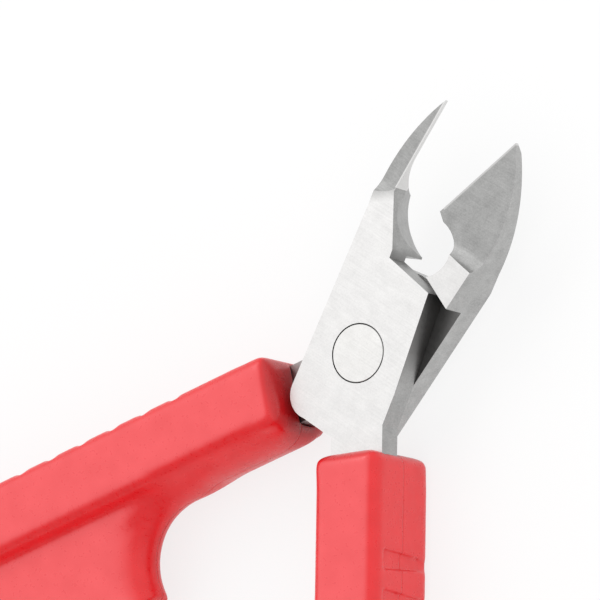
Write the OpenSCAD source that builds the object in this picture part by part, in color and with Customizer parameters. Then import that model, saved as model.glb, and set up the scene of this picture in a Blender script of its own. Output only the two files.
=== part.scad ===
// Lap-jointed diagonal cutting pliers, lying on their rear side, opened as far as the return spring lets them.
// Millimetres. +Z runs along the pivot axis, +Y halves the open jaws, and z = 0 is the rear ground face of the head.
// Each half is drawn closed, with the jaw tips on +Y, and is then turned by half of the opening angle.

/* [Head] */
// thickness of one lap plate
plate_t = 2.9; // [2.4:0.1:3.4]
// half width of the head at the pivot
head_half = 5.75; // [5.4:0.1:6.6]
// half width of the closed jaws where they start to curve in
jaw_half = 4.65; // [4.4:0.1:5.2]
// distance from the pivot to where the jaws start to curve in
jaw_start = 14.6; // [14:0.1:15.5]
// distance from the pivot to the jaw tips
jaw_reach = 26.8; // [25:0.1:29]
// half width of a lap plate on the side of its own tang
plate_inner_half = 5.5; // [5:0.1:6]
// distance from the pivot to the shoulder of a lap plate
shoulder_reach = 9.45; // [8.8:0.05:10]
// lean of that shoulder, in degrees
shoulder_lean = 18.7; // [14:0.1:22]
// radius of the free lower corner of a lap plate
corner_r = 2.6; // [1.5:0.1:3.2]
// distance from the pivot to the lower edge of a lap plate
plate_drop = 8.1; // [7.6:0.1:8.6]

/* [Cutting edges] */
// length of the cutting edges
edge_len = 10.2; // [8:0.1:11]
// lean of the cutting line away from the pivot to tip line, in degrees
edge_lean = 12.2; // [6:0.2:14]
// slope of the front facet behind the left edge, in degrees
left_facet = 16; // [8:0.5:22]
// slope of the front facet behind the right edge, in degrees
right_facet = 10; // [6:0.5:14]
// angle by which the right facet runs out askew to its cutting edge, in degrees
right_lead = 17.5; // [14:0.5:20]
// radius of the wheel that grinds the left front facet
left_wheel_r = 3; // [2:0.5:5]
// radius of the wheel that grinds the right front facet
right_wheel_r = 1.6; // [0.8:0.1:2.5]
// depth of the land along the cutting edges
land_depth = 0.45; // [0.3:0.05:0.8]
// angle of the rear bevel from the pivot axis, in degrees
bevel = 44; // [38:1:50]
// radius of the wheel that grinds the rear bevels
bevel_wheel_r = 5; // [3:0.5:7]
// distance from the pivot to where the jaws start to thin at the back
thin_start = 12.4; // [12:0.1:14]
// angle of that thinning, in degrees
thin_angle = 18.8; // [16:0.2:19.4]
// radius of the wire relief in the right jaw
relief_r = 3.1; // [2.8:0.05:3.3]
// how much further the right cutting edge runs back
heel_run = 0.45; // [0.2:0.05:0.6]
// radius of the flared relief in the left jaw
flare_r = 6; // [5:0.1:7]
// lean of that flare towards the rear, in degrees
flare_lean = 19; // [14:1:24]

/* [Pivot] */
// diameter of the rivet's shank
shank_d = 4; // [3.4:0.1:4.6]
// diameter of the rivet's flush ends
rivet_d = 6; // [5.4:0.1:6.6]
// depth of the cone under each flush end
rivet_cone = 1.1; // [0.8:0.1:1.4]
// depth of the straight rim of each flush end
rivet_rim = 0.5; // [0.3:0.1:0.8]

/* [Tangs] */
// angle between each grip and the tool's middle line, closed, in degrees
grip_angle = 25; // [22:0.5:28]
// turn of both grips away from the jaws' own middle line, in degrees
grip_skew = 3.3; // [0:0.1:4]
// width of a tang between the plate and the grip
tang_w = 6; // [5:0.1:6.4]
// width of a tang inside the grip
tang_inner_w = 4.2; // [3:0.1:4.6]
// how far the wide part of a tang goes into the grip
tang_seat = 2; // [1:0.5:4]
// distance from the pivot to the end of a tang
tang_end = 43; // [38:1:45]

/* [Grips] */
// distance from the pivot to the mouth of a grip
grip_start = 9.9; // [9.8:0.1:11]
// width of a grip
rail_w = 7.6; // [7.2:0.1:8.4]
// thickness of a grip
rail_t = 11.2; // [10.6:0.1:12]
// height of the crown on the inner side of a grip
crown = 1.3; // [0.8:0.1:1.5]
// distance from the middle line to that crown at a grip's mouth, closed
crown_gap = 0.25; // [0.2:0.05:0.4]
// radius of a grip's long edges
edge_r = 1.6; // [1:0.1:2]
// radius of the corners at a grip's mouth
mouth_r = 1.7; // [0.8:0.1:2]
// distance from the pivot to where a grip starts to bend
bend_at = 46; // [45:0.5:48]
// radius of that bend
bend_r = 110; // [100:5:130]
// angle of that bend, in degrees
bend = 32; // [28:1:34]
// distance between the grip recesses
recess_pitch = 4; // [3.6:0.1:4.4]
// number of recesses on the straight part of a grip
recess_count = 7; // [5:1:7]
// number of recesses on the bend
bend_recess_count = 5; // [2:1:6]
// depth of a recess
recess_depth = 0.4; // [0.2:0.05:0.6]
// length of a recess at its wide end
recess_long = 2.1; // [1.6:0.1:2.6]
// length of a recess at its narrow end
recess_short = 1; // [0.6:0.1:1.4]
// distance from the pivot to the first recess
recess_start = 19.8; // [19:0.1:21]

/* [Spring seats] */
// thickness of the lug on the inner side of a grip
lug_t = 6.8; // [6.4:0.1:7.6]
// distance from the middle line to a lug's face, closed
lug_face = 0.8; // [0.6:0.1:1.2]
// distance from the pivot to the spring's axis, along the middle line
spring_at = 38.4; // [38:0.1:39]
// depth of the pocket for the spring
pocket_depth = 6; // [4.5:0.1:6.5]
// radius of the sweep where the lug leaves the grip, at the middle of its round edge
lug_sweep = 9.65; // [9.3:0.05:10]
// distance from the pivot to the middle of that sweep, along the middle line
lug_sweep_at = 27.6; // [27.2:0.1:28]

/* [Spring] */
// diameter of the wire
wire_d = 0.6; // [0.5:0.05:0.7]
// outer diameter of the coil
coil_d = 3.8; // [3.4:0.1:4]
// number of turns
turns = 10; // [8:1:12]

/* [Opening and clearances] */
// angle that the return spring opens the jaws to, in degrees
opening = 20.4; // [16:0.2:21]
// gap between the two lap faces
lap_gap = 0.04; // [0.02:0.01:0.08]
// running clearance around the rivet in the front half
pivot_gap = 0.05; // [0.02:0.01:0.08]
// half of the gap left between the closed edges
edge_gap = 0.03; // [0.02:0.01:0.06]
// gap between a lap plate's shoulder and the jaw beside it
shoulder_gap = 0.45; // [0.35:0.05:0.7]
// clearance around the spring in its pocket
pocket_gap = 0.4; // [0.3:0.05:0.6]
// gap between the spring's ends and the pocket floors
seat_gap = 0.05; // [0.02:0.01:0.1]

/* [Hidden] */
$fn = 64;
far = 60;
steel = [0.86, 0.87, 0.88];
red = [0.86, 0.13, 0.15];
head_t = 2 * plate_t + lap_gap;
mid_z = head_t / 2;
jaw_r = (jaw_half ^ 2 + (jaw_reach - jaw_start) ^ 2) / (2 * jaw_half);
tip = [0, jaw_reach];
edge_dir = [sin(edge_lean), cos(edge_lean)];
heel = tip - edge_len * edge_dir;
foot = [-0.2, (shoulder_reach + 0.2 * sin(shoulder_lean)) / cos(shoulder_lean)];
jaw_shoulder = norm(foot) + shoulder_gap;
jaw_shoulder_lean = shoulder_lean - 5.9;
low_y = corner_r - plate_drop;
pocket_d = coil_d + 2 * pocket_gap;
pocket_floor = lug_face + pocket_depth;
half_open = opening / 2;
slab_t = lug_t - 0.04;
hollow = [-0.03 * lug_sweep, -lug_sweep_at];
lug_tail = 45;
lug_tail_x = lug_face + 0.56 * lug_t;
lug_tail_at = spring_at + 0.97 * lug_t;
lug_tail_end = [lug_tail_x, -lug_tail_at] + 5 * lug_t * [sin(lug_tail), -cos(lug_tail)];

// point beside a closed right grip: along it from the pivot, and inwards from its middle
function beside_grip(along, inwards) =
    along * [sin(grip_angle), -cos(grip_angle)] - inwards * [cos(grip_angle), sin(grip_angle)];
// half width of the head's outer side at the height y
function side_x(y) = head_half - (head_half - jaw_half) * y / jaw_start;
// height of a lap plate's shoulder at x
function shoulder_y(x) = (shoulder_reach - x * sin(shoulder_lean)) / cos(shoulder_lean);

// both closed jaws in plan: straight sides, then two arcs that meet at the tip
module jaws_plan() {
    polygon([
        [-side_x(low_y), low_y],
        [side_x(low_y), low_y],
        [jaw_half, jaw_start],
        [-jaw_half, jaw_start]
    ]);
    intersection() {
        translate([jaw_half - jaw_r, jaw_start]) circle(jaw_r, $fn = 180);
        translate([jaw_r - jaw_half, jaw_start]) circle(jaw_r, $fn = 180);
        translate([-far / 2, jaw_start]) square([far, far]);
    }
}

// everything on the left of the closed cutting line and of the relief below it
module left_of_cut() {
    polygon([
        [-far, foot[1]],
        [-far, far],
        tip + [-edge_gap, 0] + 5 * edge_dir,
        heel + [-edge_gap, 0] - heel_run * edge_dir,
        [foot[0], foot[1] + 0.9],
        foot
    ]);
}

// everything on the right of the closed cutting line
module right_of_cut() {
    polygon([
        [far, -far],
        [far, far],
        tip + [edge_gap, 0] + 5 * edge_dir,
        heel + [edge_gap, 0] - heel_run * edge_dir,
        [-foot[0], heel[1] - 2],
        -foot[0] * [1, 0] + [0, -far]
    ]);
}

// everything above the shoulder of a jaw, side = 1 for the right jaw and -1 for the left one
module above_jaw_shoulder(side) {
    rotate(-side * jaw_shoulder_lean) translate([-far, jaw_shoulder]) square([2 * far, far]);
}

// a tang along -Y, before it is turned to its grip's direction
module tang_plan() {
    translate([-tang_w / 2, -grip_start - tang_seat]) square([tang_w, grip_start + tang_seat]);
    translate([-tang_inner_w / 2, -tang_end]) square([tang_inner_w, tang_end]);
    translate([0, -tang_end]) circle(tang_inner_w / 2);
}

// lap plate of the front half: shoulder at the top, free rounded corner at the lower left, tang to the lower right
module lap_plate_plan(tang_angle) {
    low = [-side_x(low_y) + corner_r, low_y];
    polygon([
        [-side_x(low_y), low_y],
        [-jaw_half, jaw_start],
        [foot[0], foot[1] + 0.5],
        foot,
        [plate_inner_half, shoulder_y(plate_inner_half)],
        [plate_inner_half + 0.15, -2.5],
        [plate_inner_half, -plate_drop + 1.8],
        [0.4, -plate_drop - 0.8],
        [low[0], -plate_drop]
    ]);
    translate(low) circle(corner_r);
    rotate(tang_angle) tang_plan();
}

// grinding wheel pass: a flat cut towards +X that runs out round at x = 0, cutting everything above z = 0
module wheel_pass(radius, width) {
    rotate([90, 0, 0]) linear_extrude(width, center = true) {
        square([far / 2, far / 4]);
        translate([0, radius]) circle(radius, $fn = 96);
    }
}

// frame on the cutting line: X towards the tip, Y towards the left jaw, Z to the front, at the front face
module on_edge(along) {
    translate([heel[0] + along * edge_dir[0], heel[1] + along * edge_dir[1], head_t])
        rotate(90 - edge_lean)
            children();
}

// front facet from start on and rear bevel of one jaw, side = 1 for the left jaw and -1 for the right one;
// the facet runs out askew by lead degrees
module jaw_grinding(side, slope, start, lead, wheel_r) {
    on_edge(start) rotate([-side * slope, 0, 0]) rotate(lead) wheel_pass(wheel_r, far / 2);
    on_edge(3.6) translate([0, side * edge_gap, -land_depth]) rotate([side * (90 + bevel), 0, 0])
        wheel_pass(bevel_wheel_r, far / 3);
    translate([0, thin_start, 0]) rotate([thin_angle, 0, 0]) translate([-far / 2, 0, -far / 2])
        cube([far, far, far / 2]);
}

// round hole for the rivet, with its two cones, wider by gap
module rivet_body(gap) {
    r0 = shank_d / 2 + gap;
    r1 = rivet_d / 2 + gap;
    rotate_extrude($fn = 96) polygon([
        [0, 0],
        [r1, 0],
        [r1, rivet_rim],
        [r0, rivet_rim + rivet_cone],
        [r0, head_t - rivet_rim - rivet_cone],
        [r1, head_t - rivet_rim],
        [r1, head_t],
        [0, head_t]
    ]);
}

module front_half_closed() {
    difference() {
        union() {
            translate([0, 0, plate_t + lap_gap]) linear_extrude(plate_t) {
                intersection() {
                    jaws_plan();
                    left_of_cut();
                }
                lap_plate_plan(grip_angle - grip_skew);
            }
            linear_extrude(head_t) intersection() {
                jaws_plan();
                left_of_cut();
                above_jaw_shoulder(-1);
            }
        }
        jaw_grinding(1, left_facet, 0.3, 0, left_wheel_r);
        translate([heel[0] + 0.2 + flare_r, heel[1] - 0.6, 0]) rotate([0, flare_lean, 0])
            translate([-1.2, 0, -far / 4]) cylinder(far / 2, r = flare_r, $fn = 96);
        rivet_body(pivot_gap);
    }
}

module rear_half_closed() {
    difference() {
        union() {
            linear_extrude(plate_t) {
                intersection() {
                    jaws_plan();
                    right_of_cut();
                }
                mirror([1, 0]) lap_plate_plan(grip_angle + grip_skew);
            }
            linear_extrude(head_t) intersection() {
                jaws_plan();
                right_of_cut();
                above_jaw_shoulder(1);
            }
        }
        jaw_grinding(-1, right_facet, -2, right_lead, right_wheel_r);
        translate([heel[0] + 0.9, heel[1] - 4.14, -1]) cylinder(head_t + 2, r = relief_r);
        rivet_body(0);
    }
}

// cross-section of a grip, thick along the second axis
module rail_section(thick) {
    square([rail_w - 2 * edge_r, thick], center = true);
    square([rail_w, thick - 2 * edge_r], center = true);
    for (a = [-1, 1], b = [-1, 1])
        translate([a * (rail_w / 2 - edge_r), b * (thick / 2 - edge_r)]) circle(edge_r);
}

// crown on the inner side of that cross-section
module crown_section() {
    half = rail_t / 2 - edge_r - 0.1;
    r = (half ^ 2 + crown ^ 2) / (2 * crown);
    intersection() {
        translate([r - rail_w / 2 - crown, 0]) circle(r, $fn = 128);
        translate([-rail_w / 2 - 2 * crown, -half - 0.05]) square([3 * crown, 2 * half + 0.1]);
    }
}

// what the rounding of the two corners of an end at y = 0 takes away; its arcs cross the sides at a small angle
module end_corners(halves, radius) {
    for (a = [0, 1]) mirror([1 - a, 0]) {
        inset = halves[a] - radius + 0.12;
        difference() {
            translate([inset + 5, 5 - radius]) square(10, center = true);
            translate([inset, -radius]) circle(radius);
        }
    }
}

// both roundings of an end at y = 0 that faces +Y: in plan and seen from the side
module end_rounding(inner_half, plan_r, side_r) {
    translate([0, 0, -far / 2]) linear_extrude(far) end_corners([inner_half, rail_w / 2], plan_r);
    rotate([0, 90, 0]) translate([0, 0, -far / 2]) linear_extrude(far) end_corners([rail_t / 2, rail_t / 2], side_r);
}

// the long body of a right grip along -Y, with its inner side at -X and z = 0 in its middle
module rail() {
    difference() {
        union() {
            translate([0, -grip_start, 0]) rotate([90, 0, 0]) linear_extrude(bend_at - grip_start) rail_section(rail_t);
            difference() {
                translate([0, -grip_start, 0]) rotate([90, 0, 0]) linear_extrude(bend_at - grip_start) crown_section();
                rotate(-grip_angle) translate([crown_gap - far, -far / 2, -far / 2]) cube([far, far, far]);
            }
            translate([-bend_r, -bend_at, 0]) mirror([0, 1, 0]) rotate_extrude(angle = bend, $fn = 180)
                translate([bend_r, 0]) {
                    rail_section(rail_t);
                    crown_section();
                }
        }
        translate([0, -grip_start, 0]) end_rounding(rail_w / 2 + crown + 0.05, mouth_r, mouth_r);
        translate([-bend_r, -bend_at, 0]) rotate(-bend) translate([bend_r, 0, 0]) mirror([0, 1, 0])
            end_rounding(rail_w / 2 + crown, 0.4 * rail_w, 0.23 * rail_t);
    }
}

// one recess in the outer side of a grip, starting at y = 0 and running along -Y: it starts wide beside the
// front edge and gets narrower until it leaves through the rear edge
module recess() {
    reach = rail_t / 2 - edge_r - 0.5;
    translate([rail_w / 2 - recess_depth, 0, 0]) rotate([90, 0, 90]) linear_extrude(2 * recess_depth) polygon([
        [0, reach],
        [-recess_long, reach],
        [-(recess_long + recess_short) / 2, -rail_t / 2 - 0.5],
        [-(recess_long - recess_short) / 2, -rail_t / 2 - 0.5]
    ]);
}

// what has to go beside a slab to leave it a full round edge: x = 0 is the edge's middle, the slab lies at +X
module beside_round_edge(wide) {
    difference() {
        translate([-wide, -lug_t]) square([wide, 2 * lug_t]);
        circle(lug_t / 2);
    }
}

// lug on the inner side of a right grip, closed: a slab with a flat end for the spring and fully round edges
module lug() {
    difference() {
        translate([0, 0, -slab_t / 2]) linear_extrude(slab_t) polygon([
            beside_grip(0.69 * lug_sweep_at, 0),
            beside_grip(0.6 * lug_sweep_at, 0.45 * rail_w),
            beside_grip(0.92 * lug_sweep_at, rail_w / 2 + 0.375 * lug_t),
            [lug_face, -0.98 * lug_sweep_at],
            [lug_face, -lug_tail_at - lug_t],
            lug_tail_end - [0.37, 0.37] * lug_t,
            lug_tail_end + [0.15, 0.15] * lug_t,
            beside_grip(bend_at, 0)
        ]);
        translate([hollow[0], hollow[1], 0]) rotate_extrude($fn = 96) translate([lug_sweep, 0])
            beside_round_edge(lug_sweep);
        translate([lug_tail_x, -lug_tail_at, 0]) rotate(lug_tail) translate([0, 12, 0]) rotate([90, 0, 0])
            linear_extrude(far) beside_round_edge(far / 2);
    }
}

// right grip, closed, about the grips' own middle line
module grip_closed() {
    difference() {
        union() {
            translate([0, 0, mid_z]) rotate(grip_angle) rail();
            translate([0, 0, mid_z]) lug();
        }
        translate([0, 0, plate_t + lap_gap]) linear_extrude(plate_t) rotate(grip_angle) tang_plan();
        translate([-1, -spring_at, mid_z]) rotate([0, 90, 0]) cylinder(pocket_floor + 1, d = pocket_d);
        translate([0, 0, mid_z]) rotate(grip_angle) {
            for (i = [0 : recess_count - 1]) translate([0, -recess_start - i * recess_pitch, 0]) recess();
            for (i = [0 : bend_recess_count - 1])
                translate([-bend_r, -bend_at, 0])
                    rotate(-(1.6 + i * recess_pitch) * 180 / (PI * bend_r))
                        translate([bend_r, 0, 0]) recess();
        }
    }
}

// the spring's middle line at rest is an arc from one pocket floor to the other
floor_x = pocket_floor * cos(half_open) + spring_at * sin(half_open);
floor_y = pocket_floor * sin(half_open) - spring_at * cos(half_open);
arc_r = floor_x / sin(half_open);
arc_y = floor_y + arc_r * cos(half_open);
arc_half = half_open - (wire_d / 2 + seat_gap) / arc_r * 180 / PI;
rings_per_turn = 14;
wire_sides = 8;
rings = turns * rings_per_turn;
coil_r = (coil_d - wire_d) / 2;
// middle of the wire, u from 0 to 1
function wire_at(u) =
    let (a = arc_half * (2 * u - 1), r = arc_r + coil_r * cos(360 * turns * u))
    [r * sin(a), arc_y - r * cos(a), mid_z + coil_r * sin(360 * turns * u)];
function wire_ring(u) =
    let (
        t = wire_at(u + 0.0005) - wire_at(u - 0.0005),
        d = t / norm(t),
        a = arc_half * (2 * u - 1),
        c = [arc_r * sin(a), arc_y - arc_r * cos(a), mid_z],
        m = wire_at(u) - c,
        n0 = m - (m * d) * d,
        n = n0 / norm(n0),
        b = cross(d, n)
    )
    [for (k = [0 : wire_sides - 1])
        wire_at(u) + wire_d / 2 * (cos(360 * k / wire_sides) * n + sin(360 * k / wire_sides) * b)];
// least distance between the surfaces of two neighbouring turns
turn_gap = min([for (i = [0 : rings - rings_per_turn], k = [-2 : 2])
    norm(wire_at(i / rings) - wire_at(min(1, (i + rings_per_turn + k) / rings)))]) - wire_d;
echo(least_gap_between_turns = turn_gap);

module return_spring_open() {
    points = [for (i = [0 : rings]) each wire_ring(i / rings)];
    sides = [for (i = [0 : rings - 1], k = [0 : wire_sides - 1])
        let (a = i * wire_sides, b = a + wire_sides, l = (k + 1) % wire_sides)
        each [[a + k, a + l, b + l], [a + k, b + l, b + k]]];
    first = [for (k = [1 : wire_sides - 2]) [0, k + 1, k]];
    e = rings * wire_sides;
    last = [for (k = [1 : wire_sides - 2]) [e, e + k, e + k + 1]];
    polyhedron(points, [for (f = concat(sides, first, last)) [f[0], f[2], f[1]]]);
}

module front_half() {
    color(steel) rotate(half_open) front_half_closed();
}

module rear_half() {
    color(steel) rotate(-half_open) rear_half_closed();
}

module pivot_rivet() {
    color(steel) rivet_body(0);
}

module right_grip() {
    color(red) rotate(half_open - grip_skew) grip_closed();
}

// both grips come from one mould: the left one is the right one turned over
module left_grip() {
    color(red) rotate(-half_open - grip_skew) translate([0, 0, head_t]) rotate([0, 180, 0]) grip_closed();
}

module return_spring() {
    color(steel) rotate(-grip_skew) return_spring_open();
}

front_half();
rear_half();
pivot_rivet();
right_grip();
left_grip();
return_spring();
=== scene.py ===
# %% [markdown]
# # Diagonal cutting pliers
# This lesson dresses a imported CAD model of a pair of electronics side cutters. The CAD model is the
# frame: it fixes every size and every joint, and it is only loaded here. The looks are added around
# it: ground steel for the two halves, a rivet with a dark seam, soft moulded grips and a coil spring.

# %% Load the frame
import math

import bpy
from mathutils import Matrix, Vector


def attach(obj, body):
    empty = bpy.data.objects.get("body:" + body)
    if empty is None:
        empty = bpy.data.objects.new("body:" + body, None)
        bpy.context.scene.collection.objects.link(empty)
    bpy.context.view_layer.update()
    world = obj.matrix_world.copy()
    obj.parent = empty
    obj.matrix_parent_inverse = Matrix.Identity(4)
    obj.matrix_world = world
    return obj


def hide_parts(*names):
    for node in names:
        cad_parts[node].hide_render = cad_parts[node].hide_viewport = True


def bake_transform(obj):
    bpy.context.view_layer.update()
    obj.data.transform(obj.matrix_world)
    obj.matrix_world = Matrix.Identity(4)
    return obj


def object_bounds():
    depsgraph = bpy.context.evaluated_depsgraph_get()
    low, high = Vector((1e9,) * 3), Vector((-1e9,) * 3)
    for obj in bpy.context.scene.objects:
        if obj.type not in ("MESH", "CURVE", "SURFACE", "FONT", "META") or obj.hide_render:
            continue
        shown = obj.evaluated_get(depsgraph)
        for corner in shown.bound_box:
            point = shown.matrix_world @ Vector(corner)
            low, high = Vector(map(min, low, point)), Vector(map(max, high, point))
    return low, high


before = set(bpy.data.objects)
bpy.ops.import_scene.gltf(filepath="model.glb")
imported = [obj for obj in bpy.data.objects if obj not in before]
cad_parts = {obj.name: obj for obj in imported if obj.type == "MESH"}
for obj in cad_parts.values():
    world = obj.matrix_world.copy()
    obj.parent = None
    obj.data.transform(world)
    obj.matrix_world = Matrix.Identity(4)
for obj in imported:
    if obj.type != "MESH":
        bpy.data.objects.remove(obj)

MM = 0.001
cad_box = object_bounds()
scene = bpy.context.scene
print("CAD nodes:", sorted(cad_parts))

# %% [markdown]
# ## Camera
# The round rivet appears in the picture as an ellipse. Its shape gives the tilt of the view, and the
# direction of the jaws gives the roll. A long lens half a metre away keeps the lines nearly parallel.
# The three directions are columns of the camera's matrix, so it isn't aimed by hand.

# %% The camera
HEAD_T = 5.84 * MM
VIEW_LEFT = 5.783 * MM
VIEW_ABOVE = 5.307 * MM
DISTANCE = 500 * MM
camera_right = Vector((0.708, 0.461, -0.534)).normalized()
camera_back = Vector((0.530, 0.1505, 0.834))
camera_back = (camera_back - camera_back.dot(camera_right) * camera_right).normalized()
camera_up = camera_back.cross(camera_right)
rivet_front = Vector((0, 0, HEAD_T))
camera_place = rivet_front - VIEW_LEFT * camera_right + VIEW_ABOVE * camera_up + DISTANCE * camera_back

camera_data = bpy.data.cameras.new("camera")
camera_data.lens = 300
camera_data.sensor_width = 36
camera_data.clip_start = 0.01
camera = bpy.data.objects.new("camera", camera_data)
scene.collection.objects.link(camera)
camera.matrix_world = Matrix.Translation(camera_place) @ Matrix(
    (camera_right, camera_up, camera_back)).transposed().to_4x4()
scene.camera = camera
print("camera at", [round(c, 4) for c in camera_place])

# %% [markdown]
# ## Helpers for materials
# Colours are written as sRGB hex values, the way a colour picker shows them, but Blender's shaders
# count in linear light, so one function converts them. A second one adds a node with its settings and
# links, and a third starts an empty material. Nodes could be wired one line at a time, but then the
# recipe of a finish is hard to read.

# %% Colours, nodes and empty materials
def linear(hex_colour):
    """sRGB hex to linear RGBA."""
    channels = [int(hex_colour[i:i + 2], 16) / 255 for i in (1, 3, 5)]
    return [c / 12.92 if c <= 0.04045 else ((c + 0.055) / 1.055) ** 2.4 for c in channels] + [1.0]


def add_node(tree, kind, inputs=None, **settings):
    """Adds a node; inputs maps a socket's name or number to a value or to another node's output."""
    node = tree.nodes.new(kind)
    for name, value in settings.items():
        setattr(node, name, value)
    for name, value in (inputs or {}).items():
        if isinstance(value, bpy.types.NodeSocket):
            tree.links.new(value, node.inputs[name])
        else:
            node.inputs[name].default_value = value
    return node


def new_material(name):
    """An empty material: returns it, its node tree and its output node."""
    material = bpy.data.materials.new(name)
    material.use_nodes = True
    material.node_tree.nodes.clear()
    return material, material.node_tree, add_node(material.node_tree, "ShaderNodeOutputMaterial")


print("white is", [round(c, 3) for c in linear("#ffffff")])

# %% [markdown]
# ## Ground tool steel
# The halves are forged and then ground, which leaves a satin of fine parallel streaks. They could come
# from a picture, but a picture has one scale and has to be laid on the shape. Here they are noise that
# is stretched along the wheel's way. Fine specks, and the slow mottling that coolant and handling
# leave, are added to it. The sizes below are lengths on the metal.

# %% Wheel marks
STREAK = (4 * MM, 0.15 * MM, 0.6 * MM)
STREAK_TURN = math.radians(24)
STREAK_DEPTH = 0.01 * MM
MOTTLE = 1.5 * MM
SPECKLE = 0.16 * MM


def wheel_marks(tree, place):
    """The wheel's streaks alone, and their sum with specks and mottling, which is 1.5 on average."""
    # the streaks are coarser than real ones, so that they show
    streak_place = add_node(tree, "ShaderNodeMapping",
                            {"Vector": place.outputs["Object"], "Rotation": (0, 0, STREAK_TURN),
                             "Scale": [1 / size for size in STREAK]})
    streaks = add_node(tree, "ShaderNodeTexNoise",
                       {"Vector": streak_place.outputs[0], "Scale": 1.0, "Detail": 3.0, "Roughness": 0.6})
    mottle = add_node(tree, "ShaderNodeTexNoise",
                      {"Vector": place.outputs["Object"], "Scale": 1 / MOTTLE, "Detail": 4.0})
    speckle = add_node(tree, "ShaderNodeTexNoise",
                       {"Vector": place.outputs["Object"], "Scale": 1 / SPECKLE, "Detail": 2.0})
    marks = add_node(tree, "ShaderNodeMath",
                     {0: streaks.outputs["Fac"], 1: speckle.outputs["Fac"]}, operation="ADD")
    marks = add_node(tree, "ShaderNodeMath",
                     {0: marks.outputs[0], 1: mottle.outputs["Fac"]}, operation="ADD")
    return streaks.outputs["Fac"], marks.outputs[0]


print("streaks of", [round(size / MM, 2) for size in STREAK], "mm")

# %% [markdown]
# ### Grease and painted shade
# The joint is greased, and the grease stays dark in the seam around the rivet. The lap faces between the two
# plates and the side that looks into the open slot beside the joint are darkened too, but there the dark is
# painted shade, where little light reaches. All of it could be painted on by hand, but each of these places
# follows from a point's height, its distance from the pivot or the direction its face looks in. So each is a
# factor from 0 to 1, made of a few nodes.

# %% Grease in the rivet's seam, painted shade in the joint
LAP_Z = 2.9 * MM
LAP_NEAR, LAP_FAR = 0.06 * MM, 0.1 * MM
# where no plate covers a lap face, its painted shade is lighter
COVERED_TO, UNCOVERED_FROM = 5.6 * MM, 6.6 * MM
UNCOVERED_SHADE = 0.6
# painted shade on the side that looks into the open slot
SLOT_RISE = (-0.5 * MM, 3 * MM)
SLOT_FALL = (9.6 * MM, 11.2 * MM)
SLOT_SHADE = 0.9
SLOT_FACING = (0.5, 0.7)
SEAM_FADE = 0.04 * MM


def lap_painted_shade(tree, position, flat, side):
    """Painted shade on the lap plane, lighter beside the half's own tang, where no plate covers it."""
    away = add_node(tree, "ShaderNodeMath", {0: position.outputs["Z"], 1: LAP_Z}, operation="SUBTRACT")
    away = add_node(tree, "ShaderNodeMath", {0: away.outputs[0]}, operation="ABSOLUTE")
    on_lap = add_node(tree, "ShaderNodeMapRange",
                      {"Value": away.outputs[0], "From Min": LAP_NEAR, "From Max": LAP_FAR,
                       "To Min": 1.0, "To Max": 0.0})
    grease_and_shade = add_node(tree, "ShaderNodeMath", {0: on_lap.outputs[0], 1: flat}, operation="MULTIPLY")
    covered = add_node(tree, "ShaderNodeMapRange",
                       {"Value": position.outputs["X"], "From Min": -side * UNCOVERED_FROM,
                        "From Max": -side * COVERED_TO, "To Min": UNCOVERED_SHADE})
    grease_and_shade = add_node(tree, "ShaderNodeMath",
                      {0: grease_and_shade.outputs[0], 1: covered.outputs[0]}, operation="MULTIPLY")
    return grease_and_shade.outputs[0]


def slot_painted_shade(tree, position, facing, grease_and_shade):
    """Adds painted shade on the side that looks into the open slot beside the joint."""
    rising = add_node(tree, "ShaderNodeMapRange",
                      {"Value": position.outputs["Y"], "From Min": SLOT_RISE[0], "From Max": SLOT_RISE[1]})
    falling = add_node(tree, "ShaderNodeMapRange",
                       {"Value": position.outputs["Y"], "From Min": SLOT_FALL[0], "From Max": SLOT_FALL[1],
                        "To Min": SLOT_SHADE, "To Max": 0.0})
    sideways = add_node(tree, "ShaderNodeMapRange",
                        {"Value": facing.outputs["X"], "From Min": SLOT_FACING[0],
                         "From Max": SLOT_FACING[1]})
    beside = add_node(tree, "ShaderNodeMath",
                      {0: rising.outputs[0], 1: falling.outputs[0]}, operation="MULTIPLY")
    grease_and_shade = add_node(tree, "ShaderNodeMath", {0: beside.outputs[0], 1: sideways.outputs[0], 2: grease_and_shade},
                      operation="MULTIPLY_ADD", use_clamp=True)
    return grease_and_shade.outputs[0]


def seam_grease(tree, position, seam_radius):
    """Grease in the seam around a rivet, from seam_radius outwards."""
    across = add_node(tree, "ShaderNodeCombineXYZ", {"X": position.outputs["X"], "Y": position.outputs["Y"]})
    radius = add_node(tree, "ShaderNodeVectorMath", {0: across.outputs[0]}, operation="LENGTH")
    grease_and_shade = add_node(tree, "ShaderNodeMapRange",
                      {"Value": radius.outputs["Value"], "From Min": seam_radius - SEAM_FADE,
                       "From Max": seam_radius})
    return grease_and_shade.outputs[0]


print("lap plane at", round(LAP_Z / MM, 2), "mm")

# %% [markdown]
# ### Honed edges and the end of a facet
# A cutting edge is honed after grinding, which leaves a narrow land along it; the bright line on it is a
# painted highlight, the glint of that land. The wheel that cuts the facet behind the edge lifts off slowly,
# so on the front half the flat beside the facet's end is a little dull. Thin strips of mesh could show both,
# but a mesh of the frame is never changed. Instead a dot product measures how far a point lies along the
# edge or beside it.

# %% The honed edge's painted glint and the facet's end
HONED = 0.16 * MM
HONED_FADE = 1.6 * HONED
# how far the honed land's painted glint lifts the steel towards its bright tone
HONED_GLINT_SHARE = 0.75
FACET_END_TURN = math.radians(35)
FADE_BELOW, FADE_ABOVE = 1.4 * MM, 0.1 * MM
FADED_POLISH = 0.35


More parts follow.
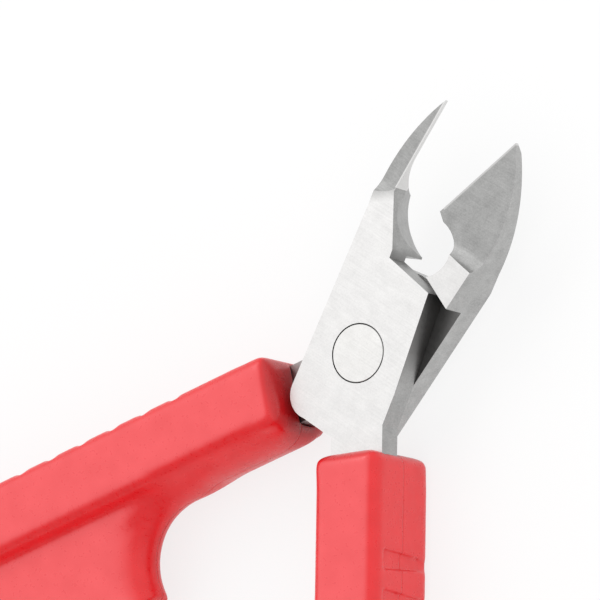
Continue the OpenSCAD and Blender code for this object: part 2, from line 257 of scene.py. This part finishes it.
def honed_glint_line(tree, place, edge):
    """The painted glint on the land that honing leaves along a cutting edge, from its heel to its tip."""
    heel, tip, side = edge
    edge_way = (tip - heel).normalized()
    inwards = Vector((edge_way.y, -edge_way.x, 0)) * side
    height = add_node(tree, "ShaderNodeVectorMath",
                      {0: place.outputs["Object"], 1: edge_way}, operation="DOT_PRODUCT")
    above_heel = add_node(tree, "ShaderNodeMath",
                          {0: height.outputs["Value"], 1: heel.dot(edge_way)}, operation="GREATER_THAN")
    beside = add_node(tree, "ShaderNodeVectorMath",
                      {0: place.outputs["Object"], 1: inwards}, operation="DOT_PRODUCT")
    near_edge = add_node(tree, "ShaderNodeMapRange",
                         {"Value": beside.outputs["Value"], "From Min": tip.dot(inwards) + HONED,
                          "From Max": tip.dot(inwards) + HONED_FADE, "To Min": HONED_GLINT_SHARE, "To Max": 0.0})
    honed = add_node(tree, "ShaderNodeMath",
                     {0: above_heel.outputs[0], 1: near_edge.outputs[0]}, operation="MULTIPLY")
    return honed.outputs[0]


def facet_fade(tree, place, edge, flat):
    """The polish of the flats, less of it beside the facet's end, which lies askew to the edge."""
    heel, tip, side = edge
    to_facet = Matrix.Rotation(-side * FACET_END_TURN, 3, "Z") @ (tip - heel).normalized()
    facet_end = heel.dot(to_facet)
    height = add_node(tree, "ShaderNodeVectorMath",
                      {0: place.outputs["Object"], 1: to_facet}, operation="DOT_PRODUCT")
    untouched = add_node(tree, "ShaderNodeMapRange",
                         {"Value": height.outputs["Value"], "From Min": facet_end - FADE_BELOW,
                          "From Max": facet_end + FADE_ABOVE, "To Min": 1.0, "To Max": FADED_POLISH},
                         interpolation_type="SMOOTHSTEP")
    polish = add_node(tree, "ShaderNodeMath", {0: flat, 1: untouched.outputs[0]}, operation="MULTIPLY")
    return polish.outputs[0]


print("honed line", round(HONED / MM, 2), "mm wide")

# %% [markdown]
# ### One recipe for the ground steel
# A fine pass leaves the flats bright, while the facets and the sides come from a coarser wheel and are
# more uneven. Their grey is partly that coarser finish and partly painted shade, for the darker reflections
# of faces that look sideways. Each face could get its own material, but one can tell them apart by the
# direction a face looks in. Its tone runs from dull to bright, the wheel's marks spread it, and the honed
# edge's painted glint, the grease and the painted shade come on top. The streaks also drive the roughness
# and a very small bump.

# %% Ground steel
# grease in a rivet's seam, and painted shade on the lap faces and beside the slot
GREASE_AND_SHADE_GREY = "#797877"
# faces that tilt further from upright than this get the dull tone: a coarser grind, and painted shade
FLAT_FROM, FLAT_TO = 0.986, 0.998
FACET_DARKEST, FLAT_DARKEST = 0.7, 0.88
FACET_BRIGHTEST, FLAT_BRIGHTEST = 1.26, 1.08
MARKS_LOW, MARKS_HIGH = 0.9, 2.1
# noise from 0 to 1 lies mostly between these two
NOISE_LOW, NOISE_HIGH = 0.3, 0.7


def ground_steel(name, bright, dull_and_shaded, seam_radius=None, edge=None, slot=False):
    """Satin ground steel. seam_radius is where the dark seam starts around a rivet, edge is the heel, the tip
    and the side of a cutting edge, and slot tells that a side beside the open slot gets painted shade too."""
    material, tree, output = new_material(name)
    place = add_node(tree, "ShaderNodeTexCoord")
    position = add_node(tree, "ShaderNodeSeparateXYZ", {0: place.outputs["Object"]})
    facing = add_node(tree, "ShaderNodeSeparateXYZ", {0: place.outputs["Normal"]})
    upright = add_node(tree, "ShaderNodeMath", {0: facing.outputs["Z"]}, operation="ABSOLUTE")
    flat = add_node(tree, "ShaderNodeMapRange",
                    {"Value": upright.outputs[0], "From Min": FLAT_FROM, "From Max": FLAT_TO}).outputs[0]
    polish = facet_fade(tree, place, edge, flat) if slot else flat
    # the dull tone of facets and sides is partly a coarser grind and partly painted shade
    tone = add_node(tree, "ShaderNodeMix",
                    {"Factor": polish, 6: linear(dull_and_shaded), 7: linear(bright)}, data_type="RGBA")
    # the coarser wheel leaves the facets more uneven than the flats
    streaks, marks = wheel_marks(tree, place)
    darkest = add_node(tree, "ShaderNodeMapRange",
                       {"Value": flat, "To Min": FACET_DARKEST, "To Max": FLAT_DARKEST})
    brightest = add_node(tree, "ShaderNodeMapRange",
                         {"Value": flat, "To Min": FACET_BRIGHTEST, "To Max": FLAT_BRIGHTEST})
    shade = add_node(tree, "ShaderNodeMapRange",
                     {"Value": marks, "From Min": MARKS_LOW, "From Max": MARKS_HIGH,
                      "To Min": darkest.outputs[0], "To Max": brightest.outputs[0]})
    colour = add_node(tree, "ShaderNodeVectorMath",
                      {0: tone.outputs[2], 1: shade.outputs[0]}, operation="MULTIPLY").outputs[0]
    # the painted glint along the honed edge
    if edge is not None:
        colour = add_node(tree, "ShaderNodeMix",
                          {"Factor": honed_glint_line(tree, place, edge), 6: colour, 7: linear(bright)},
                          data_type="RGBA").outputs[2]
    # grease in a rivet's seam; on the halves, painted shade on the lap faces and beside the slot
    if seam_radius is None:
        grease_and_shade = lap_painted_shade(tree, position, flat, edge[2])
    else:
        grease_and_shade = seam_grease(tree, position, seam_radius)
    if slot:
        grease_and_shade = slot_painted_shade(tree, position, facing, grease_and_shade)
    stained_and_shaded = add_node(tree, "ShaderNodeMix",
                       {"Factor": grease_and_shade, 6: colour, 7: linear(GREASE_AND_SHADE_GREY)}, data_type="RGBA")
    rough = add_node(tree, "ShaderNodeMapRange",
                     {"Value": streaks, "From Min": NOISE_LOW, "From Max": NOISE_HIGH,
                      "To Min": 0.3, "To Max": 0.46})
    bump = add_node(tree, "ShaderNodeBump", {"Height": streaks, "Strength": 0.25, "Distance": STREAK_DEPTH})
    steel = add_node(tree, "ShaderNodeBsdfPrincipled",
                     {"Base Color": stained_and_shaded.outputs[2], "Metallic": 1.0, "Roughness": rough.outputs[0],
                      "Normal": bump.outputs[0]})
    tree.links.new(steel.outputs[0], output.inputs["Surface"])
    return material


print("grease is", [round(c, 3) for c in linear(GREASE_AND_SHADE_GREY)])

# %% [markdown]
# ### Steel on both halves
# The two halves are CAD solids whose shape is right, so they only get their steel. Each was ground by
# itself, so their tones differ a little. The edges lie on one line when the jaws are closed, and at
# rest each half has swung open by the same angle, so one heel and one tip serve both.

# %% Steel on both halves
HALF_OPEN = math.radians(10.2)
EDGE_LEAN = math.radians(12.2)
EDGE_LONG = 10.2 * MM
edge_tip = Vector((0, 26.8 * MM, 0))
edge_heel = edge_tip - EDGE_LONG * Vector((math.sin(EDGE_LEAN), math.cos(EDGE_LEAN), 0))
# each half's bright tone and its dull tone, which is partly painted shade on facets and sides
half_tones = (
    ("front_half", -1, "#eeedec", "#ababaa"),
    ("rear_half", 1, "#e6e5e4", "#b7b7b6"),
)
for node, side, bright, dull_and_shaded in half_tones:
    turned = Matrix.Rotation(-side * HALF_OPEN, 3, "Z")
    edge = (turned @ edge_heel, turned @ edge_tip, side)
    steel = ground_steel("ground_tool_steel_" + node, bright, dull_and_shaded, edge=edge, slot=node == "front_half")
    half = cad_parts[node]
    half.data.materials.clear()
    half.data.materials.append(steel)
    print(node, "has", len(half.data.polygons), "faces of", steel.name)

# %% [markdown]
# ## Flush rivet
# The pivot is a rivet whose two ends fill countersunk holes and are ground flush with the head, so only
# a thin dark ring shows. It could be a plain cylinder, but then it would cut into the plates. Here a disc
# is extruded upwards and resized at each step, as on a lathe: rim, cone, shank, cone, rim. A small
# chamfer on both rims gives the seam in which grease collects.

# %% The rivet, drawn up from a disc
RIVET_R = 3.0 * MM
SHANK_R = 2.0 * MM
RIM = 0.5 * MM
CONE = 1.1 * MM
CHAMFER = 0.1 * MM
rivet_profile = [
    (RIVET_R, CHAMFER),
    (RIVET_R, RIM),
    (SHANK_R, RIM + CONE),
    (SHANK_R, HEAD_T - RIM - CONE),
    (RIVET_R, HEAD_T - RIM),
    (RIVET_R, HEAD_T - CHAMFER),
    (RIVET_R - CHAMFER, HEAD_T),
]
bpy.ops.object.select_all(action="DESELECT")
bpy.ops.mesh.primitive_circle_add(vertices=96, radius=RIVET_R - CHAMFER, fill_type="NGON")
rivet = bpy.context.object
rivet.name = "flush_rivet"
bpy.ops.object.mode_set(mode="EDIT")
radius, height = RIVET_R - CHAMFER, 0.0
for next_radius, next_height in rivet_profile:
    bpy.ops.mesh.extrude_region_move(TRANSFORM_OT_translate={"value": (0, 0, next_height - height)})
    ratio = next_radius / radius
    bpy.ops.transform.resize(value=(ratio, ratio, 1), center_override=(0, 0, next_height))
    radius, height = next_radius, next_height
bpy.ops.mesh.select_all(action="SELECT")
bpy.ops.mesh.normals_make_consistent(inside=False)
bpy.ops.object.mode_set(mode="OBJECT")
bpy.ops.object.shade_smooth_by_angle(angle=math.radians(30))
rivet_steel = ground_steel("ground_rivet_steel", "#f0efed", "#b0b0af", seam_radius=RIVET_R - CHAMFER / 2)
rivet.data.materials.append(rivet_steel)
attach(rivet, "rear")
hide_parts("pivot_rivet")
print("rivet:", len(rivet.data.polygons), "faces, height", round(rivet.dimensions.z / MM, 2), "mm")

# %% [markdown]
# ## Moulded plastic
# The grips are injection moulded in a red plastic over the tangs. Faces that look up or down get a paler red,
# a painted sheen of the light that falls on them, while the edges and the walls keep the deeper red.
# Two materials would meet in a hard line, so one holds both reds and mixes them by the direction a face
# looks in. Faint clouds, as the melt leaves them, keep each red from being one flat colour.

# %% Two reds of one plastic
CLOUD = 2 * MM
# faces this near to upright get the painted sheen
SHEEN_FROM, SHEEN_FULL = 0.8, 0.996
grip_plastic, tree, output = new_material("moulded_red_polypropylene")
place = add_node(tree, "ShaderNodeTexCoord")
cloud = add_node(tree, "ShaderNodeTexNoise",
                 {"Vector": place.outputs["Object"], "Scale": 1 / CLOUD, "Detail": 4.0})
tint = add_node(tree, "ShaderNodeMapRange",
                {"Value": cloud.outputs["Fac"], "From Min": NOISE_LOW, "From Max": NOISE_HIGH})
plain_red = add_node(tree, "ShaderNodeMix",
                     {"Factor": tint.outputs[0], 6: linear("#df1a20"), 7: linear("#e72026")},
                     data_type="RGBA")
# painted sheen: the paler red of faces that look up or down
sheen_red = add_node(tree, "ShaderNodeMix",
                       {"Factor": tint.outputs[0], 6: linear("#e74b4f"), 7: linear("#ed5155")},
                       data_type="RGBA")
facing = add_node(tree, "ShaderNodeSeparateXYZ", {0: place.outputs["Normal"]})
upright = add_node(tree, "ShaderNodeMath", {0: facing.outputs["Z"]}, operation="ABSOLUTE")
sheen_share = add_node(tree, "ShaderNodeMapRange",
                   {"Value": upright.outputs[0], "From Min": SHEEN_FROM, "From Max": SHEEN_FULL},
                   interpolation_type="SMOOTHSTEP")
red_with_sheen = add_node(tree, "ShaderNodeMix",
                     {"Factor": sheen_share.outputs[0], 6: plain_red.outputs[2], 7: sheen_red.outputs[2]},
                     data_type="RGBA")
print("made", grip_plastic.name)

# %% [markdown]
# ### Painted shade on the grip ends
# The ends of the grips that look back at the joint lie in the shade of the steel head, the more the nearer
# they are to the pivot, and that shade is painted. A second material on those faces would end in a hard
# line, so the shade is a factor of its own: near to the pivot, and on faces that look back at it.

# %% Painted shade on the ends of the grips
SHADE_FULL, SHADE_END = 9 * MM, 12.5 * MM
SHADE_SHARE = 0.5
# the red of the painted shade on the grip ends
SHADE_RED = "#7c0d11"
BACK_FROM, BACK_FULL = -0.3, -0.8
position = add_node(tree, "ShaderNodeSeparateXYZ", {0: place.outputs["Object"]})
from_pivot = add_node(tree, "ShaderNodeCombineXYZ",
                      {"X": position.outputs["X"], "Y": position.outputs["Y"]})
pivot_distance = add_node(tree, "ShaderNodeVectorMath", {0: from_pivot.outputs[0]}, operation="LENGTH")
near_pivot = add_node(tree, "ShaderNodeMapRange",
                      {"Value": pivot_distance.outputs["Value"], "From Min": SHADE_FULL,
                       "From Max": SHADE_END, "To Min": SHADE_SHARE, "To Max": 0.0})
pivot_way = add_node(tree, "ShaderNodeVectorMath", {0: from_pivot.outputs[0]}, operation="NORMALIZE")
looks_away = add_node(tree, "ShaderNodeVectorMath",
                      {0: pivot_way.outputs[0], 1: place.outputs["Normal"]}, operation="DOT_PRODUCT")
looks_back = add_node(tree, "ShaderNodeMapRange",
                      {"Value": looks_away.outputs["Value"], "From Min": BACK_FROM, "From Max": BACK_FULL})
# painted shade where the steel head shadows the grip ends
grip_end_shade = add_node(tree, "ShaderNodeMath",
                {0: near_pivot.outputs[0], 1: looks_back.outputs[0]}, operation="MULTIPLY")
red = add_node(tree, "ShaderNodeMix",
               {"Factor": grip_end_shade.outputs[0], 6: red_with_sheen.outputs[2], 7: linear(SHADE_RED)},
               data_type="RGBA")
print("film ends", round(SHADE_END / MM, 1), "mm from the pivot")

# %% [markdown]
# ### Skin and parting line
# The mould gives the plastic a very fine, slightly glossy grain, and where its two halves meet there is a
# thin parting line along the middle of each grip. Both are only hundredths of a millimetre deep, so mesh
# would be wasted on them. The grain is noise, the line follows from the height of a point, and together
# they are one small bump.

# %% Skin, parting line and gloss
MIDDLE_Z = HEAD_T / 2
SKIN_GRAIN = 0.5 * MM
SKIN_SHARE = 0.12
RELIEF_DEPTH = 0.08 * MM
PARTING_HALF, PARTING_END = 0.03 * MM, 0.12 * MM
# the real grain is about 0.1 mm, drawn coarser so that it shows
skin = add_node(tree, "ShaderNodeTexNoise",
                {"Vector": place.outputs["Object"], "Scale": 1 / SKIN_GRAIN, "Detail": 1.0})
rough = add_node(tree, "ShaderNodeMapRange",
                 {"Value": skin.outputs["Fac"], "From Min": NOISE_LOW, "From Max": NOISE_HIGH,
                  "To Min": 0.26, "To Max": 0.4})
from_middle = add_node(tree, "ShaderNodeMath",
                       {0: position.outputs["Z"], 1: MIDDLE_Z}, operation="SUBTRACT")
from_middle = add_node(tree, "ShaderNodeMath", {0: from_middle.outputs[0]}, operation="ABSOLUTE")
parting = add_node(tree, "ShaderNodeMapRange",
                   {"Value": from_middle.outputs[0], "From Min": PARTING_HALF, "From Max": PARTING_END,
                    "To Min": 1.0, "To Max": 0.0})
relief = add_node(tree, "ShaderNodeMath",
                  {0: skin.outputs["Fac"], 1: SKIN_SHARE, 2: parting.outputs[0]},
                  operation="MULTIPLY_ADD")
bump = add_node(tree, "ShaderNodeBump",
                {"Height": relief.outputs[0], "Strength": 0.8, "Distance": RELIEF_DEPTH}, invert=True)
plastic = add_node(tree, "ShaderNodeBsdfPrincipled",
                   {"Base Color": red.outputs[2], "Roughness": rough.outputs[0],
                    "Specular IOR Level": 0.6, "Normal": bump.outputs[0]})
tree.links.new(plastic.outputs[0], output.inputs["Surface"])
print("parting line at", round(MIDDLE_Z / MM, 2), "mm")

# %% [markdown]
# ## Grips
# A moulded grip has no sharp edge anywhere, because plastic can't fill one and a hand wouldn't like it.
# Each edge could be bevelled by itself, but the lug, the crown and the recesses meet in too many ways
# for that. So the CAD shape is copied, its loose triangles are merged, and it is remeshed to an even
# skin of small cells. Relaxing that skin step by step rounds every edge, and a weight from 0 to 1 for
# each point says where it acts.

# %% An even skin that can be relaxed
SKIN_CELL = 0.2 * MM
MERGE = 0.001 * MM


def only(obj):
    """Makes obj the one selected and active object, because operators act on all that is selected."""
    bpy.ops.object.select_all(action="DESELECT")
    obj.select_set(True)
    bpy.context.view_layer.objects.active = obj


def even_copy(node, name):
    """A merged copy of a CAD node, remeshed to an even skin of small cells."""
    copy = bpy.data.objects.new(name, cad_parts[node].data.copy())
    scene.collection.objects.link(copy)
    only(copy)
    bpy.ops.object.mode_set(mode="EDIT")
    bpy.ops.mesh.select_all(action="SELECT")
    bpy.ops.mesh.remove_doubles(threshold=MERGE)
    bpy.ops.mesh.customdata_custom_splitnormals_clear()
    bpy.ops.object.mode_set(mode="OBJECT")
    remesh = copy.modifiers.new("even_skin", "REMESH")
    remesh.mode = "VOXEL"
    remesh.voxel_size = SKIN_CELL
    bpy.ops.object.modifier_apply(modifier=remesh.name)
    return copy


def relax(grip, name, steps, weight_at):
    """Relaxes the skin step by step, each point by its weight from 0 to 1."""
    group = grip.vertex_groups.new(name=name)
    for vertex in grip.data.vertices:
        weight = weight_at(vertex.co)
        if weight > 0:
            group.add([vertex.index], min(weight, 1), "REPLACE")
    smooth = grip.modifiers.new(name, "SMOOTH")
    smooth.factor = 0.5
    smooth.iterations = steps
    smooth.vertex_group = group.name
    bpy.ops.object.modifier_apply(modifier=smooth.name)


def ramp(value, start, end):
    """0 before start, 1 after end, a smooth rise between; start may be the larger one."""
    share = min(max((value - start) / (end - start), 0), 1)
    return share * share * (3 - 2 * share)


print("skin cells of", round(SKIN_CELL / MM, 2), "mm")

# %% [markdown]
# ### Mouth and lug
# The real grips differ a little from the plain solids. The end at the mouth isn't quite square: its outer
# corner reaches nearer to the head, and its inner corner falls back. And the lug ends at the finger
# hollow in a nose that is drawn out longer than a half round. Sculpting by hand could give these forms,
# but two formulas give them to both grips alike. Each fades out smoothly, so it leaves no crease.

# %% How far a point moves
MOUTH_AT = 9.9 * MM
CORNER_AT = 2.5 * MM
CORNER_LEAN = 0.22
LUG_FROM, LUG_FULL = -4.5 * MM, -6.5 * MM
LUG_HALF = 3.4 * MM
NOSE_START = 0.02 * MM
NOSE_LONG = 5.5 * MM


def mouth_push(distance, aside, shift, lean):
    """How far a point moves to the head, by its distance from the pivot and its place across the grip."""
    at_mouth = ramp(distance, 2 * MOUTH_AT, MOUTH_AT)
    push = at_mouth * (shift + lean * aside)
    return push - at_mouth * CORNER_LEAN * max(-aside - CORNER_AT, 0)


def nose_share(inside, aside):
    """The share by which the lug's thickness grows or shrinks, inside being the way from its edge."""
    on_lug = ramp(aside, LUG_FROM, LUG_FULL)
    if on_lug <= 0 or not NOSE_START < inside < NOSE_LONG:
        return 0.0
    half_round = min(inside / LUG_HALF, 1)
    drawn_out = inside / NOSE_LONG
    return on_lug * (math.sqrt((2 - drawn_out) * drawn_out / ((2 - half_round) * half_round)) - 1)


print("1 mm inside its edge the lug is thinner by", round(-nose_share(1 * MM, LUG_FULL), 3))

# %% [markdown]
# ### Where the skin is relaxed
# Two steps everywhere smooth out the cells, and a few more soften the long edges beside the flat sides.
# Many let the inner side and the mouth flow into soft forms, and the most go to the crown between mouth
# and lug. A single strong pass would be simpler, but it would also wash out the recesses.

# %% Weights for relaxing
SOFTEN_STEPS = 2
EDGE_STEPS = 14
FLOW_STEPS = 45
CROWN_STEPS = 120
# where each weight starts and where it is full: above the middle, across the grip and from the pivot
EDGE_HEIGHT = (3.4 * MM, 4.4 * MM)
INNER_ASIDE = (-0.5 * MM, -2 * MM)
MOUTH_REACH = (14 * MM, 12 * MM)
CROWN_ASIDE = (-2.2 * MM, -3.4 * MM)
AFTER_MOUTH = (12 * MM, 14.5 * MM)
BEFORE_LUG = (28 * MM, 24 * MM)


def on_long_edges(co):
    """1 near the flat sides, 0 nearer to the middle of the thickness."""
    return ramp(abs(co.z - MIDDLE_Z), *EDGE_HEIGHT)


def on_inner_side(co, outwards):
    """1 on the inner side of the grip and around its mouth."""
    return max(ramp(co.dot(outwards), *INNER_ASIDE), ramp(co.xy.length, *MOUTH_REACH))


def on_crown(co, outwards):
    """1 on the crown of the inner side, between mouth and lug."""
    along_grip = min(ramp(co.xy.length, *AFTER_MOUTH), ramp(co.xy.length, *BEFORE_LUG))
    return min(ramp(co.dot(outwards), *CROWN_ASIDE), along_grip)


print("relaxing steps:", SOFTEN_STEPS, EDGE_STEPS, FLOW_STEPS, CROWN_STEPS)

# %% [markdown]
# ### Both grips
# Each grip is copied, moved at its mouth and lug, relaxed and then thinned to half its faces, because the
# even skin has far more than its gentle forms need. It rides on the body of the half that it sits on.

# %% Soft copies of both grips
GRIP_ANGLE = math.radians(25)
GRIP_SKEW = math.radians(3.3)
HOLLOW_R = 6.25 * MM
HOLLOW_ASIDE = 0.29 * MM
HOLLOW_BELOW = 27.6 * MM
KEPT_FACES = 0.5
grip_mouths = (
    ("right_grip", "front", 1, -0.2 * MM, 0.08),
    ("left_grip", "rear", -1, 0.4 * MM, 0.13),
)
for node, body, side, mouth_shift, mouth_lean in grip_mouths:
    axis_angle = side * (GRIP_ANGLE + HALF_OPEN) - GRIP_SKEW
    outwards = side * Vector((math.cos(axis_angle), math.sin(axis_angle), 0))
    to_head = Vector((-math.sin(axis_angle), math.cos(axis_angle), 0))
    swung_open = Matrix.Rotation(side * HALF_OPEN - GRIP_SKEW, 3, "Z")
    hollow = swung_open @ Vector((-side * HOLLOW_ASIDE, -HOLLOW_BELOW, 0))
    grip = even_copy(node, "moulded_" + node)
    for vertex in grip.data.vertices:
        point = vertex.co.copy()
        aside = point.dot(outwards)
        push = mouth_push(-point.dot(to_head), aside, mouth_shift, mouth_lean)
        inside = (point.xy - hollow.xy).length - HOLLOW_R
        point.z += nose_share(inside, aside) * (point.z - MIDDLE_Z)
        vertex.co = point + push * to_head
    relax(grip, "fine_edges", SOFTEN_STEPS, lambda co: 1)
    relax(grip, "long_edges", EDGE_STEPS, on_long_edges)
    relax(grip, "inner_flow", FLOW_STEPS, lambda co: on_inner_side(co, outwards))
    relax(grip, "inner_crown", CROWN_STEPS, lambda co: on_crown(co, outwards))
    thin_out = grip.modifiers.new("fewer_faces", "DECIMATE")
    thin_out.ratio = KEPT_FACES
    bpy.ops.object.modifier_apply(modifier=thin_out.name)
    bpy.ops.object.shade_smooth()
    grip.data.materials.clear()
    grip.data.materials.append(grip_plastic)
    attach(grip, body)
    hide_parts(node)
    print(grip.name, "has", len(grip.data.polygons), "faces")

# %% [markdown]
# ## Return spring
# A compression spring of bright drawn wire sits in a pocket of each lug and pushes the grips apart. Its
# end turns lie close together, so that it stands square in its seats, and the turns between are open.
# With closed jaws its middle line is straight, and as they open each point of it follows the two grips
# by its share of the way. The coil could be bent from a straight one, but a formula gives it at once.

# %% The line from seat to seat
SPRING_AT = 38.4 * MM
POCKET_FLOOR = 6.8 * MM
WIRE_R = 0.3 * MM
SEAT_GAP = 0.05 * MM
TURNS = 11
CLOSED_PITCH = 2.3 * WIRE_R
reach = (POCKET_FLOOR - WIRE_R - SEAT_GAP) * math.cos(HALF_OPEN) + SPRING_AT * math.sin(HALF_OPEN)


def share_after(turn):
    """Share of the way from seat to seat after a number of turns: the end turns are closed."""
    closed = CLOSED_PITCH / (2 * reach)
    if turn < 1:
        return turn * closed
    if turn > TURNS - 1:
        return 1 - (TURNS - turn) * closed
    return closed + (turn - 1) / (TURNS - 2) * (1 - 2 * closed)


def middle_line(share):
    """Point on the spring's middle line at rest, and the angle by which that point has swung out."""
    x = reach * (2 * share - 1)
    swing = HALF_OPEN * (2 * share * share * (3 - 2 * share) - 1)
    closed_x = (x - SPRING_AT * math.sin(swing)) / math.cos(swing)
    return Vector((x, closed_x * math.sin(swing) - SPRING_AT * math.cos(swing), MIDDLE_Z)), swing


print("each seat is", round(reach / MM, 2), "mm from the middle")

# %% [markdown]
# ### The wire
# The wire is a curve through points around the middle line. A curve with a round section is simpler than
# sweeping a circle by hand, and made a mesh it can be shaded and exported like any piece.

# %% The coil as a mesh
COIL_R = 1.6 * MM
STEPS_PER_TURN = 24
to_grips = Matrix.Rotation(-GRIP_SKEW, 3, "Z")
wire_points = []
for i in range(TURNS * STEPS_PER_TURN + 1):
    turn = i / STEPS_PER_TURN
    point, swing = middle_line(share_after(turn))
    sideways = Vector((math.sin(swing), -math.cos(swing), 0))
    round_angle = 2 * math.pi * turn
    point += COIL_R * (math.cos(round_angle) * sideways + math.sin(round_angle) * Vector((0, 0, 1)))
    wire_points.append(to_grips @ point)

wire = bpy.data.curves.new("drawn_wire", "CURVE")
wire.dimensions = "3D"
wire.bevel_depth = WIRE_R
wire.bevel_resolution = 3
wire.use_fill_caps = True
line = wire.splines.new("POLY")
line.points.add(len(wire_points) - 1)
for target, point in zip(line.points, wire_points):
    target.co = (*point, 1)
spring = bpy.data.objects.new("coil_spring", wire)
scene.collection.objects.link(spring)
only(spring)
bpy.ops.object.convert(target="MESH")
spring = bpy.context.object
bpy.ops.object.mode_set(mode="EDIT")
bpy.ops.mesh.select_all(action="SELECT")
bpy.ops.mesh.remove_doubles(threshold=MERGE)
bpy.ops.mesh.normals_make_consistent(inside=False)
bpy.ops.object.mode_set(mode="OBJECT")
bpy.ops.object.shade_smooth_by_angle(angle=math.radians(40))
print("spring:", len(spring.data.polygons), "faces,", TURNS, "turns")

# %% [markdown]
# ### Drawn wire, and the spring's seats
# The wire is drawn through a die, which leaves it bright and smooth, with faint stains that vary its tone
# and gloss. When the jaws close, the lugs come together and the spring gets shorter. Here the coil keeps
# its shape at rest, is fixed where it lies, and only the distance between its seats is printed.

# %% Wire finish and the seats
STAIN = 0.4 * MM
material, tree, output = new_material("bright_drawn_spring_wire")
place = add_node(tree, "ShaderNodeTexCoord")
stain = add_node(tree, "ShaderNodeTexNoise",
                 {"Vector": place.outputs["Object"], "Scale": 1 / STAIN, "Detail": 3.0})
wire_tint = add_node(tree, "ShaderNodeMix",
                     {"Factor": stain.outputs["Fac"], 6: linear("#a9a9ab"), 7: linear("#dcdcdd")},
                     data_type="RGBA")
wire_rough = add_node(tree, "ShaderNodeMapRange",
                      {"Value": stain.outputs["Fac"], "From Min": NOISE_LOW, "From Max": NOISE_HIGH,
                       "To Min": 0.18, "To Max": 0.34})
drawn = add_node(tree, "ShaderNodeBsdfPrincipled",
                 {"Base Color": wire_tint.outputs[2], "Metallic": 1.0, "Roughness": wire_rough.outputs[0]})
tree.links.new(drawn.outputs[0], output.inputs["Surface"])
spring.data.materials.clear()
spring.data.materials.append(material)

left_seat, right_seat = (to_grips @ middle_line(share)[0] for share in (0, 1))
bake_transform(spring)
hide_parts("return_spring")
print("spring from seat to seat:", round((right_seat - left_seat).length / MM, 2), "mm")

# %% [markdown]
# ## Floor
# The tool lies on a table with plain white paint. A brighter lamp could turn the floor white, but it
# would bleach the tool as well. So to the camera, and in reflections, most of the floor's white is its
# own, and the rest keeps the tool's soft shadow.

# %% The floor
# a hair below the tool, so that the floor and the grips' flat sides don't share one plane
FLOOR_DROP = 0.02 * MM
FLOOR_Z = cad_box[0][2] - FLOOR_DROP
FLOOR_GLOW = 0.8
PAINT_CLOUD = 40 * MM


def shown_to_camera(tree):
    """1 for the rays that show the background: from the camera, mirrored or through glass."""
    path = add_node(tree, "ShaderNodeLightPath")
    seen = add_node(tree, "ShaderNodeMath",
                    {0: path.outputs["Is Camera Ray"], 1: path.outputs["Is Glossy Ray"]}, operation="MAXIMUM")
    seen = add_node(tree, "ShaderNodeMath",
                    {0: seen.outputs[0], 1: path.outputs["Is Transmission Ray"]}, operation="MAXIMUM")
    return seen.outputs[0]


bpy.ops.object.select_all(action="DESELECT")
bpy.ops.mesh.primitive_plane_add(size=6, location=(0, 0, FLOOR_Z))
floor = bpy.context.object
floor.name = "floor"
material, tree, output = new_material("white_painted_table")
place = add_node(tree, "ShaderNodeTexCoord")
cloud = add_node(tree, "ShaderNodeTexNoise",
                 {"Vector": place.outputs["Object"], "Scale": 1 / PAINT_CLOUD, "Detail": 2.0})
paint = add_node(tree, "ShaderNodeMix",
                 {"Factor": cloud.outputs["Fac"], 6: linear("#f4f4f4"), 7: linear("#f8f8f8")},
                 data_type="RGBA")
matt = add_node(tree, "ShaderNodeBsdfDiffuse", {"Color": paint.outputs[2]})
glow = add_node(tree, "ShaderNodeEmission", {"Color": linear("#ffffff"), "Strength": 1.0})
pale = add_node(tree, "ShaderNodeMixShader", {0: FLOOR_GLOW, 1: matt.outputs[0], 2: glow.outputs[0]})
surface = add_node(tree, "ShaderNodeMixShader",
                   {0: shown_to_camera(tree), 1: matt.outputs[0], 2: pale.outputs[0]})
tree.links.new(surface.outputs[0], output.inputs["Surface"])
floor.data.materials.append(material)
print("floor at", round(FLOOR_Z / MM, 2), "mm")

# %% [markdown]
# ## Light
# A light tent gives even light from all round, and one large lamp gives the forms a direction. The world
# is the tent. Seen directly or in a reflection it is white, apart from its opening, which is darker:
# without it, steel under white light from all sides would look like white paint.

# %% World and lamp
TENT_LIGHT = 1.05
OPENING_WAY = Vector((0.65, -0.6, 0.45)).normalized()
OPENING_LIGHT = 0.1
OPENING_RIM, OPENING_CORE = 0.4, 0.8
world = bpy.data.worlds.new("light_tent")
scene.world = world
world.use_nodes = True
tree = world.node_tree
tree.nodes.clear()
direction = add_node(tree, "ShaderNodeTexCoord")
to_opening = add_node(tree, "ShaderNodeVectorMath",
                      {0: direction.outputs["Generated"], 1: OPENING_WAY}, operation="DOT_PRODUCT")
opening = add_node(tree, "ShaderNodeMapRange",
                   {"Value": to_opening.outputs["Value"], "From Min": OPENING_RIM,
                    "From Max": OPENING_CORE, "To Min": 1.0, "To Max": OPENING_LIGHT},
                   interpolation_type="SMOOTHSTEP")
tent = add_node(tree, "ShaderNodeBackground", {"Color": linear("#ffffff"), "Strength": TENT_LIGHT})
white = add_node(tree, "ShaderNodeBackground", {"Color": linear("#ffffff"), "Strength": opening.outputs[0]})
both = add_node(tree, "ShaderNodeMixShader",
                {0: shown_to_camera(tree), 1: tent.outputs[0], 2: white.outputs[0]})
add_node(tree, "ShaderNodeOutputWorld", {"Surface": both.outputs[0]})

LAMP_AIM = Vector((0, -0.03, 0))
lamp_data = bpy.data.lights.new("softbox", "AREA")
lamp_data.shape = "DISK"
lamp_data.size = 0.45
lamp_data.energy = 1.0
lamp = bpy.data.objects.new("softbox", lamp_data)
scene.collection.objects.link(lamp)
lamp.location = (-0.54, 0.32, 0.65)
lamp.rotation_euler = (LAMP_AIM - lamp.location).to_track_quat("-Z", "Y").to_euler()
scene.view_settings.view_transform = "Standard"
print("lamp of", lamp_data.energy, "W")
